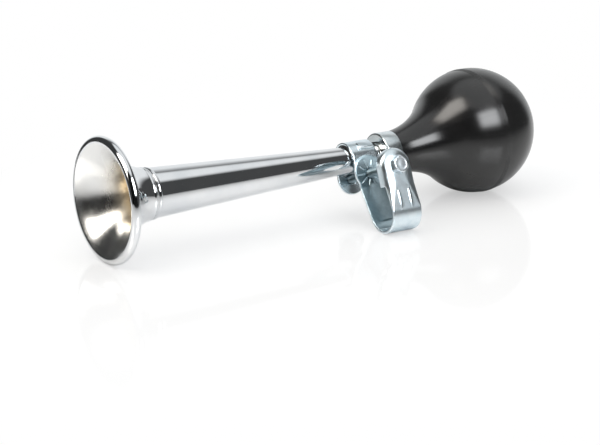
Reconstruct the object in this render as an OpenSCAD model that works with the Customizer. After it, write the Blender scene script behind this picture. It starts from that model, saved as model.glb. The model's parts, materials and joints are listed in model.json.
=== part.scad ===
// Bulb horn with a handlebar bracket, modelled in millimetres.
// Every module draws in the horn's own frame: X runs along the horn from the mouth to the bulb,
// Y points away from the viewer and Z points up. placed() then lays the horn on the table.

/* [Bell] */
// radius of the bell over its rolled rim
bell_r = 27.5; // [24:0.5:32]
// radius of the rolled rim's section
rim_roll_r = 1.8; // [1.4:0.1:2.4]
// sheet thickness of the bell
bell_wall = 0.8; // [0.6:0.1:1.2]
// radius of the trumpet curve seen from outside
flare_r = 27.2; // [24:0.2:32]
// distance from the mouth to the joint with the tube
bell_len = 19.4; // [16:0.2:24]

/* [Tube] */
// outside radius of the tube at the bell joint
tube_front_r = 11.1; // [9:0.1:13]
// outside radius of the tube at its rear end
tube_rear_r = 5.2; // [4.8:0.1:5.6]
// distance from the mouth to the tube's rear end
tube_end = 136.4; // [132:0.2:150]
// sheet thickness of the tube
tube_wall = 0.7; // [0.5:0.1:0.9]

/* [Bulb] */
// radius of the rubber ball
ball_r = 28.5; // [25:0.1:32]
// distance from the ferrule's rear edge to the ball's centre
ball_reach = 46.6; // [42:0.2:54]
// rubber thickness of the ball
ball_wall = 2.5; // [1.8:0.1:3.5]
// sideways bend of the neck away from the viewer
ball_swing = 2.6; // [0:0.1:5]
// outside radius of the ferrule round the neck
ferrule_r = 10; // [9.4:0.1:11]
// length of the ferrule
ferrule_len = 8; // [6:0.2:11]

/* [Bracket] */
// thickness of the bracket's sheet metal
sheet = 1.2; // [1:0.1:1.6]
// width of the clip along the tube
clip_w = 12.8; // [10:0.2:14]
// distance from the mouth to the clamp bolt
bolt_u = 126.8; // [122:0.2:128]
// thickness of the liner between clip and tube
liner_t = 0.75; // [0.5:0.05:1]
// radius of the handlebar that the strap takes
bar_r = 8; // [7.5:0.1:8.6]
// width of the strap along the bar
strap_w = 15; // [13:0.2:16]
// turn of the bracket round the tube from upright
bracket_roll = 22.5; // [10:0.5:30]

/* [Bolt] */
// thread radius of the clamp bolt
bolt_r = 2; // [1.5:0.1:2.5]
// length of the clamp bolt under its head
bolt_len = 45; // [44:1:60]
// width across flats of bolt head and nut
hex_af = 7; // [6:0.1:8]

/* [Hidden] */
$fn = 96;
eps = 0.02;
// clearances: bonded joints, running fits, and free gaps between moving pieces
joint_gap = 0.02;
run_gap = 0.06;
free_gap = 0.35;
// small step at a line where two tangent shapes of one piece meet
seam = 0.03;

// bell and tube
tube_slope = (tube_front_r - tube_rear_r) / (tube_end - bell_len);
function tube_r(u) = tube_front_r - tube_slope * (u - bell_len);
flare_u = bell_len + 4.6;
flare_base = tube_r(flare_u);
roll_c = bell_r - rim_roll_r;
roll_wall = bell_wall * 0.75;
// mouth distance where the trumpet's sheet reaches the rim's centre line
rim_u = flare_u - sqrt(pow(flare_r + bell_wall / 2, 2)
                       - pow(flare_base + flare_r - (roll_c - rim_roll_r * 0.35), 2));
spigot_len = 8;
ring_r = 0.9;
ring_out = 0.38;

// tail, reed and ferrule
tail_gap = 0.3;
collar_u = tube_end + tail_gap;
collar_r = tube_rear_r + 0.9;
ferrule_u = collar_u + 1.4;
ferrule_wall = 0.9;
ferrule_end = ferrule_u + ferrule_len;
nipple_r = 5.5;
nipple_end = ferrule_end + 0.9;
nipple_bore = 3.4;
spigot_in = 9;
barb_out = 0.35;
reed_r = 3.2;
reed_bore = 2.3;
reed_flat = 1.9;
reed_flange_r = 4.5;
reed_u = nipple_end + 0.9;
reed_len = 21;
tongue_t = 0.3;
tongue_w = 4.4;
tongue_lift = 1.6;
root_u = reed_u + 3.2;
reed_ring_w = 2.6;
tongue_len = 14.5;

// bulb
neck_r = ferrule_r - ferrule_wall - run_gap;
neck_bore = nipple_r + barb_out + run_gap;
neck_u = ferrule_u + ferrule_wall + run_gap;
// behind the ferrule the rubber stands out to a shoulder and bends there
shoulder_r = ferrule_r - 0.2;
bend_u = ferrule_end + run_gap;
neck_flare = (ball_reach * ball_reach + shoulder_r * shoulder_r - ball_r * ball_r)
             / (2 * (ball_r - shoulder_r));
void_r = ball_r - ball_wall;
void_neck = neck_bore + 0.6;
void_flare = (ball_reach * ball_reach + void_neck * void_neck - void_r * void_r)
             / (2 * (void_r - void_neck));

// bracket: b is the distance from the tube's axis toward the viewer, c the distance below it
clip_in = tube_r(bolt_u - clip_w / 2) + run_gap + liner_t;
clip_out = clip_in + sheet;
bolt_c = tube_r(bolt_u - bolt_r) + bolt_r + free_gap;
ear_r = 6.9;
shoulder_pad_len = 7.2;
shoulder_pad_w = 4.2;
shoulder_pad_rise = 0.45;
far_leg_b = clip_out + run_gap;
loop_r = bar_r + sheet;
// the strap's near leg stands off by the span, and its loop hangs below the bolt by the drop
leg_span = 22.6;
loop_drop = 19;
near_leg_b = far_leg_b + leg_span;
loop_b = near_leg_b - bar_r;
loop_c = bolt_c + loop_drop;
pad_r = 7.7;
pad_rise = 0.8;
head_over = 0.4;
head_r = strap_w / 2 + head_over;
flange_depth = 4.4;
flange_drop = 8.5;
flange_c = bolt_c + flange_drop;
rib_drop = 10;
rib_c = bolt_c + rib_drop;
// the far leg leans from the rosette's foot to the loop
foot_drop = 5.5;
foot_half = 6.4;
lean_c = bolt_c + foot_drop;
lean_run = loop_b - far_leg_b;
lean_drop = loop_c - lean_c;
lean_a = atan2(lean_run, lean_drop) - asin(loop_r / sqrt(lean_run * lean_run + lean_drop * lean_drop));
lean_len = sqrt(lean_run * lean_run + lean_drop * lean_drop - loop_r * loop_r);
// pressed rays of the rosette and ribs of the two legs
ray_len = 3.3;
ray_w = 0.9;
ray_t = 0.4;
rib_w = 1.2;
rib_t = 0.4;
rib_x = 2.7;
lean_rib_w = 1;
lean_rib_t = 0.3;
lean_rib_x = 4;
lean_rib_end = 4;
hole_r = bolt_r + run_gap;
head_t = 2.8;
washer_t = 0.8;
washer_r = 4.5;
nut_t = 3.2;
hex_r = hex_af / 2 / cos(30);
bolt_seat = near_leg_b + sheet;

// the pose on the table: the bell's rim, the strap's loop and the ball all touch it
strap_low = loop_b * sin(bracket_roll) - loop_c * cos(bracket_roll) - loop_r;
rest_pitch = atan((bell_r + strap_low) / (bolt_u + strap_w / 2));
ball_lift = (ball_r + seam + (bend_u + ball_reach) * sin(rest_pitch)) / cos(rest_pitch) - bell_r;
ball_tilt = asin(ball_lift / ball_reach);
// shift that brings the middle of the bounding box over the origin
origin_x = -109.5;
origin_y = 4.95;

// lays the horn on the table
module placed() {
    translate([origin_x, origin_y, bell_r * cos(rest_pitch)]) rotate([0, rest_pitch, 0]) children();
}

// revolves a drawing of [radius, distance along the horn] round the horn's axis
module turned() {
    rotate([0, 90, 0]) rotate_extrude() children();
}

// a cylinder along the horn from u0 to u1
module along(u0, u1, r) {
    translate([u0, 0, 0]) rotate([0, 90, 0]) cylinder(h = u1 - u0, r = r);
}

// the bracket's frame: origin on the tube's axis at the bolt, -Y is b and -Z is c
module bracket() {
    rotate([-bracket_roll, 0, 0]) translate([bolt_u, 0, 0]) children();
}

// a cylinder along the bolt's axis from b0 to b1
module along_bolt(b0, b1, r) {
    translate([0, -b0, -bolt_c]) rotate([90, 0, 0]) cylinder(h = b1 - b0, r = r);
}

// draws in the plane of a bracket leg: x along the tube, y up, from b0 outward by t
module leg_plate(b0, t) {
    translate([0, -b0, 0]) rotate([90, 0, 0]) linear_extrude(t) children();
}

module bell_flare() {
    color([0.86, 0.87, 0.88]) union() {
        turned() union() {
            // trumpet sheet between two arcs of one centre
            intersection() {
                difference() {
                    translate([flare_base + flare_r, flare_u]) circle(flare_r + bell_wall);
                    translate([flare_base + flare_r, flare_u]) circle(flare_r);
                }
                translate([0, rim_u]) square([roll_c, bell_len - rim_u]);
            }
            // rolled rim, open at the back where the sheet's edge ends
            translate([roll_c, rim_u + rim_roll_r * 0.3]) difference() {
                circle(rim_roll_r);
                circle(rim_roll_r - roll_wall);
                translate([0.2, 0.4]) square([0.5, rim_roll_r]);
            }
            // bead beside the joint
            translate([flare_base + 0.55 - ring_r + ring_out, bell_len - 1.4]) circle(ring_r);
        }
        // spigot inside the tube
        difference() {
            translate([bell_len - 0.9, 0, 0]) rotate([0, 90, 0])
                cylinder(h = spigot_len + 0.9,
                         r1 = tube_r(bell_len - 0.9) - tube_wall - joint_gap,
                         r2 = tube_r(bell_len + spigot_len) - tube_wall - joint_gap);
            translate([bell_len - 1, 0, 0]) rotate([0, 90, 0])
                cylinder(h = spigot_len + 1.2,
                         r1 = tube_r(bell_len - 1) - tube_wall * 2,
                         r2 = tube_r(bell_len + spigot_len + 0.2) - tube_wall * 2);
        }
    }
}

module horn_tube() {
    color([0.84, 0.85, 0.87]) difference() {
        union() {
            translate([bell_len + joint_gap, 0, 0]) rotate([0, 90, 0])
                cylinder(h = tube_end - bell_len - joint_gap,
                         r1 = tube_r(bell_len + joint_gap), r2 = tube_rear_r);
            turned() translate([tube_r(bell_len + 1.2) - ring_r + ring_out, bell_len + 1.2]) circle(ring_r);
            along(tube_end - 1.6, tube_end, tube_rear_r + 0.4);
        }
        translate([bell_len - 1, 0, 0]) rotate([0, 90, 0])
            cylinder(h = tube_end - bell_len + 2,
                     r1 = tube_r(bell_len - 1) - tube_wall, r2 = tube_r(tube_end + 1) - tube_wall);
    }
}

module tail_nipple() {
    color([0.80, 0.80, 0.78]) difference() {
        union() {
            translate([tube_end - spigot_in, 0, 0]) rotate([0, 90, 0])
                cylinder(h = spigot_in + tail_gap + eps,
                         r1 = tube_r(tube_end - spigot_in) - tube_wall - joint_gap,
                         r2 = tube_r(tube_end + tail_gap) - tube_wall - joint_gap);
            along(collar_u, ferrule_u, collar_r);
            along(ferrule_u - eps, nipple_end, nipple_r);
            for (i = [0 : 1])
                translate([neck_u + 1.6 + 3.2 * i, 0, 0]) rotate([0, 90, 0])
                    cylinder(h = 1.8, r1 = nipple_r + barb_out, r2 = nipple_r);
        }
        along(tube_end - spigot_in - 1, nipple_end + 1, nipple_bore);
    }
}

module reed_body() {
    color([0.80, 0.66, 0.36]) difference() {
        union() {
            along(nipple_end - 7, nipple_end + eps, nipple_bore - joint_gap);
            along(nipple_end + joint_gap, reed_u, reed_flange_r);
            along(reed_u - eps, reed_u + reed_len, reed_r);
        }
        along(nipple_end - 8, reed_u + reed_len - 2, reed_bore);
        translate([reed_u + 0.8, -reed_r - 1, reed_flat])
            cube([reed_len - 2, 2 * reed_r + 2, reed_r]);
    }
}

module reed_tongue() {
    color([0.86, 0.72, 0.40]) translate([root_u, 0, reed_flat + run_gap]) union() {
        translate([-1.5, -tongue_w / 2, 0]) cube([1.6, tongue_w, tongue_t]);
        rotate([0, -tongue_lift, 0]) translate([0, -tongue_w / 2, 0])
            cube([tongue_len, tongue_w, tongue_t]);
    }
}

module reed_ring() {
    color([0.74, 0.60, 0.32]) difference() {
        along(root_u - reed_ring_w / 2, root_u + reed_ring_w / 2, reed_flange_r);
        intersection() {
            along(root_u - reed_ring_w, root_u + reed_ring_w, reed_r + joint_gap);
            translate([root_u - reed_ring_w, -reed_r - 1, -reed_r - 1])
                cube([2 * reed_ring_w, 2 * reed_r + 2,
                      reed_r + 1 + reed_flat + tongue_t + 3 * run_gap]);
        }
    }
}

// outline of a neck that opens in one arc into a ball: n neck radius, q arc radius, s ball radius,
// with the arc running on past the neck by the length k
module ball_outline(n, q, s, k) {
    t_r = (n + q) * s / (s + q);
    t_u = ball_reach * q / (s + q);
    difference() {
        translate([0, -k]) square([t_r + 1, t_u + k]);
        translate([n + q, 0]) circle(q, $fn = 200);
    }
    intersection() {
        translate([0, ball_reach]) circle(s + seam, $fn = 128);
        translate([0, t_u]) square([s + 1, ball_reach + s]);
    }
}

// the ball behind the bend, filled up to the outline
module bent_ball(n, q, s, k) {
    translate([bend_u, 0, 0]) rotate([0, 0, ball_swing]) rotate([0, -ball_tilt, 0])
        turned() ball_outline(n, q, s, k);
}

module bulb() {
    color([0.10, 0.10, 0.10]) difference() {
        union() {
            along(neck_u, bend_u + 1, neck_r);
            intersection() {
                bent_ball(shoulder_r, neck_flare, ball_r, 3);
                along(bend_u, bend_u + ball_reach + 2 * ball_r, 2 * ball_r);
            }
        }
        along(neck_u - 1, bend_u, neck_bore);
        bent_ball(void_neck, void_flare, void_r, 0.7);
    }
}

module bulb_ferrule() {
    color([0.72, 0.77, 0.79]) difference() {
        union() {
            along(ferrule_u + 0.6, ferrule_end, ferrule_r);
            translate([ferrule_u + joint_gap, 0, 0]) rotate([0, 90, 0])
                cylinder(h = 0.6, r1 = ferrule_r - 0.6, r2 = ferrule_r);
        }
        along(ferrule_u + ferrule_wall, ferrule_end + 1, ferrule_r - ferrule_wall);
        along(ferrule_u - 1, ferrule_end, nipple_r + joint_gap);
    }
}

// outline of the clip's ear seen along the bolt, from the tube's axis down to its round end
module ear_outline() {
    difference() {
        union() {
            translate([-clip_w / 2, -bolt_c]) square([clip_w, bolt_c]);
            translate([0, -bolt_c]) circle(ear_r);
        }
        translate([0, -bolt_c]) circle(hole_r);
    }
}

module tube_clip() {
    color([0.70, 0.77, 0.79]) bracket() union() {
        difference() {
            along(-clip_w / 2, clip_w / 2, clip_out);
            along(-clip_w, clip_w, clip_in);
            translate([-clip_w, -clip_out - 1, -clip_out - 1])
                cube([2 * clip_w, 2 * clip_out + 2, clip_out + 1]);
        }
        leg_plate(clip_in, sheet) ear_outline();
        leg_plate(-clip_out, sheet) ear_outline();
        // raised pad on the shoulder toward the viewer
        rotate([56, 0, 0]) intersection() {
            along(-shoulder_pad_len / 4, shoulder_pad_len * 3 / 4, clip_out + shoulder_pad_rise);
            translate([-shoulder_pad_len / 4, -shoulder_pad_w / 2, clip_in + sheet / 2])
                cube([shoulder_pad_len, shoulder_pad_w, sheet]);
        }
    }
}

module clip_liner() {
    color([0.08, 0.08, 0.09]) bracket() difference() {
        along(-clip_w / 2, clip_w / 2, clip_in - joint_gap);
        along(-clip_w, clip_w, clip_in - liner_t);
        translate([-clip_w, -clip_out - 1, -clip_out - 2])
            cube([2 * clip_w, 2 * clip_out + 2, clip_out + 2]);
    }
}

// outline of the near leg seen along the bolt: round head and straight sides
module near_outline(inset, low) {
    translate([0, -bolt_c]) circle(head_r - inset);
    translate([-head_r + inset, -low]) square([2 * (head_r - inset), low - bolt_c]);
}

module far_leg() {
    // round pad with its pressed rays
    leg_plate(far_leg_b, sheet) difference() {
        union() {
            translate([0, -bolt_c + pad_rise]) circle(pad_r);
            translate([-foot_half + 0.2, -lean_c]) square([2 * foot_half - 0.4, lean_c - bolt_c]);
        }
        translate([0, -bolt_c]) circle(hole_r);
    }
    for (i = [0 : 9])
        translate([0, -far_leg_b - sheet, -bolt_c]) rotate([0, 36 * i + 18, 0])
            translate([bolt_r + ray_w, -ray_t, -ray_w / 2]) cube([ray_len, ray_t + 0.1, ray_w]);
    // leaning part down to the loop, wider at its foot
    translate([0, -far_leg_b, -lean_c]) rotate([-lean_a, 0, 0]) {
        translate([0, -seam, 0]) rotate([90, 0, 0]) linear_extrude(sheet - 2 * seam)
            polygon([[-foot_half, 0], [foot_half, 0], [strap_w / 2 - seam, -lean_len - 0.4],
                     [-strap_w / 2 + seam, -lean_len - 0.4]]);
        for (s = [-1, 1])
            translate([s * lean_rib_x - lean_rib_w / 2, -sheet - lean_rib_t, -lean_len + lean_rib_end])
                cube([lean_rib_w, lean_rib_t + 0.2, lean_len - lean_rib_end - 2]);
    }
}

module loop() {
    translate([0, -loop_b, -loop_c]) difference() {
        along(-strap_w / 2, strap_w / 2, loop_r);
        along(-strap_w, strap_w, bar_r);
        // keeps the arc between the leaning leg and the straight one
        translate([-strap_w, 0, 0]) rotate([-lean_a, 0, 0])
            cube([2 * strap_w, 2 * loop_r, 2 * loop_r]);
        translate([-strap_w, -2 * loop_r, 0]) cube([2 * strap_w, 4 * loop_r, 2 * loop_r]);
    }
}

module near_leg() {
    difference() {
        union() {
            leg_plate(near_leg_b, sheet) {
                near_outline(0, flange_c);
                translate([-strap_w / 2, -loop_c]) square([strap_w, loop_c - bolt_c]);
            }
            // turned-in edge round the head
            difference() {
                leg_plate(near_leg_b - flange_depth, flange_depth + eps) difference() {
                    near_outline(0, flange_c);
                    near_outline(sheet, flange_c + 1);
                }
                translate([-head_r - 1, -near_leg_b, -flange_c]) rotate([-74, 0, 0])
                    translate([0, 0, -1]) cube([2 * head_r + 2, 3 * flange_depth, 2 * loop_c]);
            }
            // stiffening ribs
            for (s = [-1, 1])
                translate([s * rib_x - rib_w / 2, -near_leg_b - sheet - rib_t, -loop_c])
                    cube([rib_w, rib_t + 0.2, loop_c - rib_c]);
        }
        along_bolt(near_leg_b - flange_depth - 1, near_leg_b + sheet + 1, hole_r);
    }
}

module handlebar_strap() {
    color([0.70, 0.78, 0.80]) bracket() union() {
        far_leg();
        loop();
        near_leg();
    }
}

module clamp_bolt() {
    color([0.78, 0.80, 0.80]) bracket() union() {
        along_bolt(bolt_seat - bolt_len, bolt_seat + run_gap + eps, bolt_r);
        translate([0, -bolt_seat - run_gap, -bolt_c]) rotate([90, 0, 0]) intersection() {
            cylinder(h = head_t, r = hex_r, $fn = 6);
            translate([0, 0, -hex_r]) cylinder(h = head_t + hex_r, r1 = head_t + hex_r * 2,
                                               r2 = hex_af / 2 - 0.1);
        }
    }
}

module nut_washer() {
    color([0.74, 0.77, 0.78]) bracket() difference() {
        along_bolt(-clip_out - run_gap - washer_t, -clip_out - run_gap, washer_r);
        along_bolt(-clip_out - 5, -clip_out + 1, hole_r);
    }
}

module clamp_nut() {
    nut_b = -clip_out - run_gap - washer_t;
    color([0.74, 0.76, 0.76]) bracket() difference() {
        translate([0, -nut_b + nut_t, -bolt_c]) rotate([90, 0, 0]) cylinder(h = nut_t, r = hex_r, $fn = 6);
        along_bolt(nut_b - nut_t - 1, nut_b + 1, hole_r);
    }
}

placed() bell_flare();
placed() horn_tube();
placed() tail_nipple();
placed() reed_body();
placed() reed_tongue();
placed() reed_ring();
placed() bulb();
placed() bulb_ferrule();
placed() tube_clip();
placed() clip_liner();
placed() handlebar_strap();
placed() clamp_bolt();
placed() clamp_nut();
placed() nut_washer();
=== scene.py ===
"""Looks of a bulb horn that lies on a white table.

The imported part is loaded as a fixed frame. Each shown piece is modelled again here with soft edges and
its own finish, in millimetres and along the horn's or the bracket's own directions, and is then set in
its place. A small studio and the photograph's camera come last.
"""
import json
import logging
import math
from contextlib import contextmanager
from dataclasses import dataclass
from enum import Enum
from typing import Callable, Iterator, Mapping, Optional, Sequence, Union

import bpy
from mathutils import Matrix, Vector


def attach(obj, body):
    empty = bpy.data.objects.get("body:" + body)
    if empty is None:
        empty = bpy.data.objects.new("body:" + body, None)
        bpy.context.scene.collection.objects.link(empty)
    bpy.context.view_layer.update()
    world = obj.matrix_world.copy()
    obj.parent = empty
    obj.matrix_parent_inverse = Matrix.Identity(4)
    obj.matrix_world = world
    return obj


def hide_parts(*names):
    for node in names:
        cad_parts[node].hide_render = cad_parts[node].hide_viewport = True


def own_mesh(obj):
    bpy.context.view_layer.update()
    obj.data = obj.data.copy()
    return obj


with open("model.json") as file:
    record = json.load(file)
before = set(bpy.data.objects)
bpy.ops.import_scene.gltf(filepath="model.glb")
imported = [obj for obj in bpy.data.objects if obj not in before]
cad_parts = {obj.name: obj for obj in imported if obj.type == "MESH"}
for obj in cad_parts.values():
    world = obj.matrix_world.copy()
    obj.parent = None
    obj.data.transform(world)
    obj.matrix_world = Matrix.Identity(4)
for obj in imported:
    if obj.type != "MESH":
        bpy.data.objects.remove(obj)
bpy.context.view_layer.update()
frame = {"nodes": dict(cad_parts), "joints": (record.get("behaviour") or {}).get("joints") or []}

log = logging.getLogger("bulb_horn")

Pair = tuple[float, float]
Triple = tuple[float, float, float]
Outline = list[Pair]
Number = Union[int, float]

MM = 0.001
ORIGIN: Triple = (0.0, 0.0, 0.0)
X_WAY: Triple = (1.0, 0.0, 0.0)
Y_WAY: Triple = (0.0, 1.0, 0.0)
Z_WAY: Triple = (0.0, 0.0, 1.0)
LIE_ALONG_X: Triple = (0.0, 90.0, 0.0)
LIE_ALONG_Y: Triple = (90.0, 0.0, 0.0)
HALF_TURN = 180.0
FULL_TURN = 360.0
BOTH_SIDES: Pair = (-1.0, 1.0)


class Body(Enum):
    """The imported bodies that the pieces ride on."""

    HORN = "horn"
    CLIP = "clip"
    STRAP = "strap"
    BOLT = "bolt"
    NUT = "nut"


class Slot(Enum):
    """The record's material slots, by name."""

    CHROME = "chrome_plate"
    NICKEL = "nickel_tail"
    RUBBER = "black_rubber"
    ZINC = "zinc_plate"
    # The liner's slot carries the near-black finish that is painted shade under the clip.
    LINER = "liner_vinyl"


class Along(Enum):
    """An axis to turn a section round, with the way that it turns."""

    X_DOWN = (-1.0, 0.0, 0.0)
    X_UP = (1.0, 0.0, 0.0)
    Y_OVER = (0.0, -1.0, 0.0)


class Pick(Enum):
    """What a selection is made of."""

    VERTEX = "VERT"
    EDGE = "EDGE"
    FACE = "FACE"


class Cut(Enum):
    """Which part of a solid stays where a second solid meets it."""

    OUTSIDE = "DIFFERENCE"
    INSIDE = "INTERSECT"


@dataclass(frozen=True)
class Lie:
    """How the horn lies: matrices from each sub-assembly's millimetres to the part's frame.

    horn: X along the horn from the mouth, Y away from the viewer, Z up.
    bracket: X along the horn from the bolt, Y toward the viewer (b), Z down (c).
    bolt: X along the bolt toward its head, from the tube's middle plane.
    ball: X along the ball's own axis from the bend behind the ferrule.
    """

    horn: Matrix
    bracket: Matrix
    bolt: Matrix
    ball: Matrix
    bend: Vector
    ball_axis: Vector
    horn_axis: Vector

    @classmethod
    def from_joints(cls, joints: Sequence[Mapping], bolt_u: float, bend_u: float) -> "Lie":
        """Reads the directions from the part's joints.

        Args:
            joints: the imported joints, with their points and axes.
            bolt_u: distance of the clamp bolt from the mouth.
            bend_u: distance of the neck's bend from the mouth.

        Returns:
            The matrices of all sub-assemblies.
        """
        by_name = {joint["name"]: joint for joint in joints}
        horn = Vector(by_name["clip_roll"]["axis"]).normalized()
        over_bolt = Vector(by_name["clip_roll"]["pos_m"])
        on_bolt = Vector(by_name["bolt_turn"]["pos_m"])
        toward = Vector(by_name["bolt_turn"]["axis"]).normalized()
        ball = -Vector(by_name["bulb_squeeze"]["axis"]).normalized()
        down = horn.cross(toward)
        away = Vector(Y_WAY)
        side = Vector(Z_WAY).cross(ball).normalized()
        bend = over_bolt + horn * (bend_u - bolt_u) * MM
        return cls(
            horn=cls.basis(horn, away, horn.cross(away), over_bolt - horn * bolt_u * MM),
            bracket=cls.basis(horn, toward, down, over_bolt),
            bolt=cls.basis(toward, down, horn, on_bolt),
            ball=cls.basis(ball, side, ball.cross(side), bend),
            bend=bend, ball_axis=ball, horn_axis=horn,
        )

    @staticmethod
    def basis(x: Vector, y: Vector, z: Vector, origin: Vector) -> Matrix:
        """Returns the matrix of three directions and an origin, for millimetres."""
        turn = Matrix((x, y, z)).transposed().to_4x4()
        return Matrix.Translation(origin) @ turn @ Matrix.Scale(MM, 4)


class Bench:
    """The modelling bench: runs of operators that several pieces share."""

    @staticmethod
    def only(obj: bpy.types.Object) -> None:
        """Makes one object the only selected one, and the active one."""
        bpy.ops.object.select_all(action="DESELECT")
        obj.select_set(True)
        bpy.context.view_layer.objects.active = obj

    @staticmethod
    def apply_place(obj: bpy.types.Object) -> None:
        """Puts an object's place, turn and scale into its mesh."""
        Bench.only(obj)
        bpy.ops.object.transform_apply(location=True, rotation=True, scale=True)

    @staticmethod
    def set_in(obj: bpy.types.Object, place: Matrix) -> None:
        """Moves a mesh from its sub-assembly's millimetres to the part's frame."""
        obj.matrix_world = place
        Bench.apply_place(obj)

    @staticmethod
    def add(name: str, operator: Callable[..., set[str]], **settings: object) -> bpy.types.Object:
        """Runs an operator that adds an object.

        Args:
            name: the new object's name, and its data's.
            operator: the operator, such as the one that adds a plane.
            settings: what the operator takes.

        Returns:
            The new object, the only one selected.
        """
        bpy.ops.object.select_all(action="DESELECT")
        operator(**settings)
        obj = bpy.context.object
        obj.name = obj.data.name = name
        return obj

    @staticmethod
    def sized(name: str, operator: Callable[..., set[str]], scale: Triple,
              **settings: object) -> bpy.types.Object:
        """Adds a primitive and puts its place, turn and scale into its mesh.

        Args:
            name: the new object's name.
            operator: the operator that adds the primitive.
            scale: how far the primitive is stretched along X, Y and Z.
            settings: what the operator takes.

        Returns:
            The primitive at its size and place.
        """
        obj = Bench.add(name, operator, **settings)
        obj.scale = scale
        Bench.apply_place(obj)
        return obj

    @staticmethod
    def block(name: str, size: Triple, centre: Triple, turn: float = 0.0) -> bpy.types.Object:
        """Returns a box of full sizes round its middle, turned about X by some degrees."""
        return Bench.sized(name, bpy.ops.mesh.primitive_cube_add, size, size=1.0, location=centre,
                           rotation=(math.radians(turn), 0.0, 0.0))

    @staticmethod
    def rod(name: str, radius: float, depth: float, centre: Triple, turn: Triple,
            sides: int) -> bpy.types.Object:
        """Adds a prism or cylinder.

        Args:
            name: the new object's name.
            radius: distance from its axis to its corners.
            depth: its length.
            centre: where its middle lies.
            turn: turn from upright, in degrees about X, Y and Z.
            sides: number of sides.

        Returns:
            The prism.
        """
        return Bench.sized(name, bpy.ops.mesh.primitive_cylinder_add, (1.0, 1.0, 1.0), vertices=sides,
                           radius=radius, depth=depth, location=centre,
                           rotation=[math.radians(angle) for angle in turn])

    @staticmethod
    def pebble(name: str, half: Triple, centre: Triple, segments: int, rings: int) -> bpy.types.Object:
        """Returns an ellipsoid of three half sizes, for a shallow pressed relief."""
        return Bench.sized(name, bpy.ops.mesh.primitive_uv_sphere_add, half, segments=segments,
                           ring_count=rings, radius=1.0, location=centre)

    @staticmethod
    @contextmanager
    def editing(obj: bpy.types.Object) -> Iterator[None]:
        """Holds an object in edit mode, with all of it selected at first."""
        Bench.only(obj)
        bpy.ops.object.mode_set(mode="EDIT")
        bpy.ops.mesh.select_mode(type=Pick.VERTEX.value)
        bpy.ops.mesh.select_all(action="SELECT")
        yield
        bpy.ops.object.mode_set(mode="OBJECT")

    @staticmethod
    @contextmanager
    def picking(obj: bpy.types.Object, test: Callable[[Vector], bool], kind: Pick) -> Iterator[None]:
        """Holds an object in edit mode with what passes a test on its place selected.

        Args:
            obj: the object to edit.
            test: takes a vertex's place or the middle of an edge or face.
            kind: what is selected.
        """
        Bench.only(obj)
        bpy.ops.object.mode_set(mode="EDIT")
        bpy.ops.mesh.select_mode(type=kind.value)
        bpy.ops.mesh.select_all(action="DESELECT")
        bpy.ops.object.mode_set(mode="OBJECT")
        mesh = obj.data
        if kind is Pick.EDGE:
            for edge in mesh.edges:
                first, second = (mesh.vertices[i].co for i in edge.vertices)
                edge.select = test((first + second) / 2)
        else:
            for item in mesh.polygons if kind is Pick.FACE else mesh.vertices:
                item.select = test(item.center if kind is Pick.FACE else item.co)
        bpy.ops.object.mode_set(mode="EDIT")
        yield
        bpy.ops.object.mode_set(mode="OBJECT")

    @staticmethod
    def spin(steps: int, degrees: float, pivot: Triple, along: Along) -> None:
        """Spins what is selected in edit mode and closes its seams.

        Args:
            steps: number of copies.
            degrees: how far it turns.
            pivot: a point on the axis.
            along: the axis and the way of turning.
        """
        bpy.ops.mesh.spin(steps=steps, angle=math.radians(degrees), center=pivot, axis=along.value)
        bpy.ops.mesh.select_all(action="SELECT")
        bpy.ops.mesh.remove_doubles(threshold=1e-4)
        bpy.ops.mesh.normals_make_consistent(inside=False)

    @staticmethod
    def band(name: str, size: Pair, centre: Triple, pivot: Triple, along: Along, degrees: float,
             steps: int) -> bpy.types.Object:
        """Turns a flat rectangle round an axis into a solid band or ring.

        Args:
            name: the new object's name.
            size: the rectangle's sizes along X and Y.
            centre: the rectangle's middle.
            pivot: a point on the axis.
            along: the axis and the way of turning.
            degrees: how far it turns; a full turn closes a ring.
            steps: number of copies.

        Returns:
            A closed solid.
        """
        obj = Bench.sized(name, bpy.ops.mesh.primitive_plane_add, (*size, 1.0), size=1.0, location=centre)
        with Bench.editing(obj):
            if degrees >= FULL_TURN:
                bpy.ops.mesh.delete(type="ONLY_FACE")
                bpy.ops.mesh.select_all(action="SELECT")
            Bench.spin(steps, degrees, pivot, along)
        return obj

    @staticmethod
    def outline(name: str, points: Outline) -> bpy.types.Object:
        """Draws an outline by extruding one vertex from point to point.

        Args:
            name: the new object's name.
            points: distances along X with their radii, drawn in the X-Z plane.

        Returns:
            The outline, with no faces yet.
        """
        obj = Bench.add(name, bpy.ops.mesh.primitive_plane_add, size=1.0)
        with Bench.editing(obj):
            bpy.ops.mesh.merge(type="CENTER")
            bpy.ops.transform.translate(value=(points[0][0], 0.0, points[0][1]))
            for (u0, r0), (u1, r1) in zip(points, points[1:]):
                bpy.ops.mesh.extrude_region_move(TRANSFORM_OT_translate={"value": (u1 - u0, 0.0, r1 - r0)})
        return obj

    @staticmethod
    def lathe(name: str, points: Outline, steps: int, ring: bool = True) -> bpy.types.Object:
        """Turns an outline round X.

        Args:
            name: the new object's name.
            points: distances along X with their radii.
            steps: facets round the axis.
            ring: closes the outline on itself; otherwise it starts and ends on the axis.

        Returns:
            A closed solid of revolution.
        """
        obj = Bench.outline(name, points + points[:1] if ring else points)
        with Bench.editing(obj):
            Bench.spin(steps, FULL_TURN, ORIGIN, Along.X_UP)
        return obj

    @staticmethod
    def paint(obj: bpy.types.Object, finishes: Sequence[bpy.types.Material],
              test: Callable[[bpy.types.MeshPolygon], bool]) -> None:
        """Gives an object two finishes, the second on the faces that pass a test.

        Args:
            obj: the object to paint.
            finishes: the two materials.
            test: takes a face.
        """
        for finish in finishes:
            obj.data.materials.append(finish)
        for face in obj.data.polygons:
            face.material_index = int(test(face))

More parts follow.
